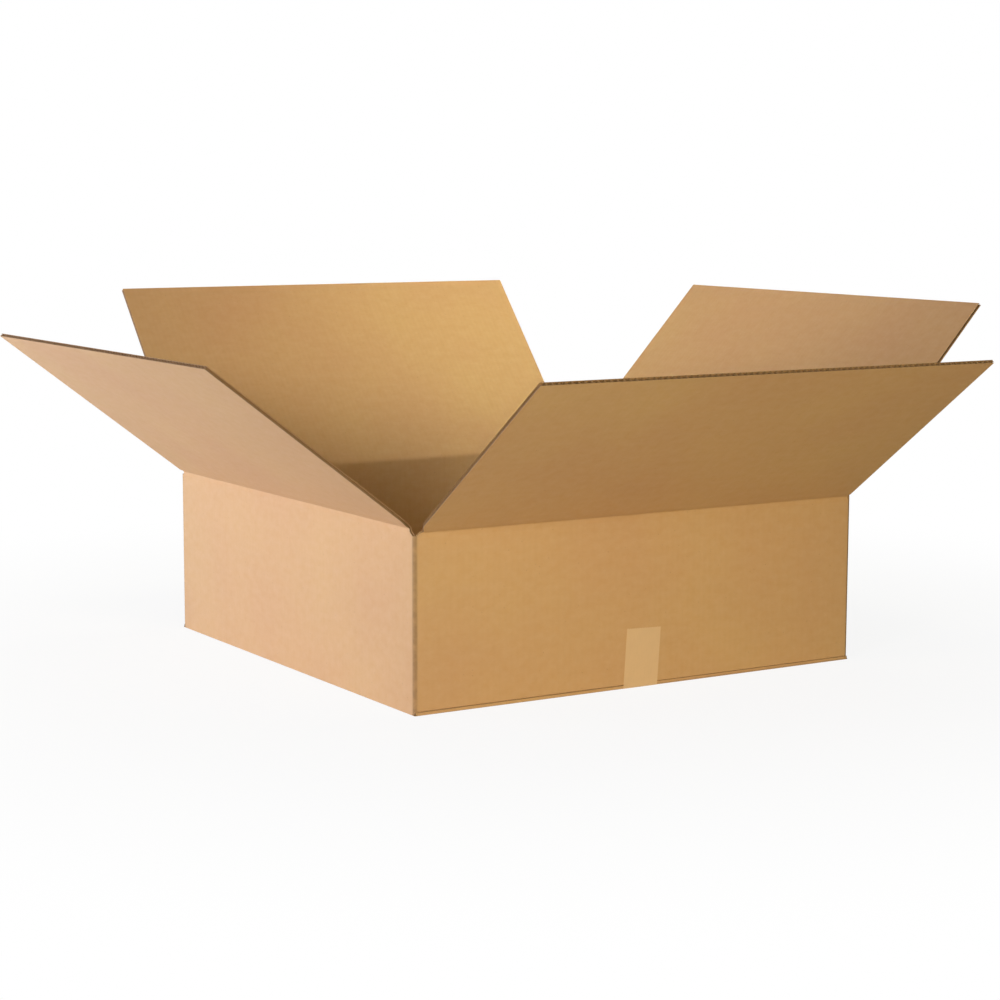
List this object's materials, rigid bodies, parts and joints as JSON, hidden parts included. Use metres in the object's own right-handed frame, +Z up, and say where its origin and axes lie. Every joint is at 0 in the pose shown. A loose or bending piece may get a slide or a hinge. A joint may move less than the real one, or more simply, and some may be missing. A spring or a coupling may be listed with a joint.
{
  "type": "open corrugated cardboard box",
  "caption": "Square shallow corrugated cardboard shipping box standing open, its top flaps folded outwards and its floor seam taped.",
  "frame": {"origin": "centre of the carton's underside", "axes": "+Z up, -Y towards the wall that shows the tape end, -X towards the other wall seen in the picture"},
  "size_m": [1.0717, 1.0664, 0.4389],
  "materials": {
    "kraft_board": "matte brown kraft corrugated board",
    "sealing_tape": "thin tan film tape, soft gloss"
  },
  "bodies": {
    "carton": {"carton_body": "kraft_board", "bottom_tape": "sealing_tape"},
    "front": {"front_flap": "kraft_board"},
    "back": {"back_flap": "kraft_board"},
    "left": {"left_flap": "kraft_board"},
    "right": {"right_flap": "kraft_board"}
  },
  "joints": [
    {"name": "front_crease", "type": "hinge", "parent": "carton", "child": "front", "pos_m": [0, -0.308, 0.204], "axis": [1, 0, 0], "range_deg": [-143.9, 76.1]},
    {"name": "right_crease", "type": "hinge", "parent": "carton", "child": "right", "pos_m": [0.308, 0, 0.20825], "axis": [0, 1, 0], "range_deg": [-133, 88]},
    {"name": "back_crease", "type": "hinge", "parent": "carton", "child": "back", "pos_m": [0, 0.308, 0.204], "axis": [-1, 0, 0], "range_deg": [-130.8, 89.2]},
    {"name": "left_crease", "type": "hinge", "parent": "carton", "child": "left", "pos_m": [-0.308, 0, 0.20825], "axis": [0, -1, 0], "range_deg": [-142.8, 78.2]}
  ]
}
